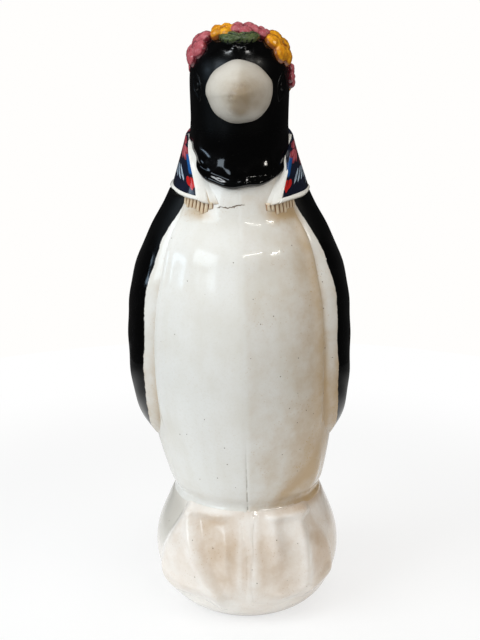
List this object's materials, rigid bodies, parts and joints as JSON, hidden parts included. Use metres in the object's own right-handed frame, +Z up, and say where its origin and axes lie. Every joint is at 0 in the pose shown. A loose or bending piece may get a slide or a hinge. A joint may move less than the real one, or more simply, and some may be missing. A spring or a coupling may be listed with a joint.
{
  "type": "penguin figurine",
  "caption": "Glazed ceramic figurine of a standing penguin on a rounded plinth, with a flower wreath on its head and a fringed floral shawl, for display.",
  "frame": {"origin": "middle of the flat foot that the plinth stands on", "axes": "+Z up along the figure, -Y the way the beak points, +X towards the left flipper"},
  "size_m": [0.1106, 0.1058, 0.2955],
  "materials": {
    "white_glaze": "gloss",
    "black_glaze": "gloss",
    "beak_glaze": "satin",
    "navy_glaze": "gloss",
    "border_glaze": "gloss",
    "fringe_glaze": "gloss",
    "pink_glaze": "gloss",
    "yellow_glaze": "gloss",
    "green_glaze": "gloss"
  },
  "bodies": {
    "root": {"beak": "beak_glaze", "body_left_half": "white_glaze", "body_right_half": "white_glaze", "flower_pink_back_left": "pink_glaze", "flower_pink_back_right": "pink_glaze", "flower_pink_left_low": "pink_glaze", "flower_pink_right": "pink_glaze", "flower_pink_right_low": "pink_glaze", "flower_pink_small": "pink_glaze", "flower_pink_top": "pink_glaze", "flower_yellow_back": "yellow_glaze", "flower_yellow_back_left": "yellow_glaze", "flower_yellow_back_right": "yellow_glaze", "flower_yellow_left": "yellow_glaze", "flower_yellow_right": "yellow_glaze", "fringe_back": "fringe_glaze", "fringe_left": "fringe_glaze", "fringe_right": "fringe_glaze", "head": "black_glaze", "leaf_back_left": "green_glaze", "leaf_back_right": "green_glaze", "leaf_front_left": "green_glaze", "leaf_front_right": "green_glaze", "left_eye": "black_glaze", "left_flipper": "black_glaze", "left_foot": "white_glaze", "left_lapel": "border_glaze", "plinth": "white_glaze", "right_eye": "black_glaze", "right_flipper": "black_glaze", "right_foot": "white_glaze", "right_lapel": "border_glaze", "shawl_cloth": "navy_glaze", "shawl_hem": "border_glaze", "tail": "black_glaze"}
  },
  "joints": []
}
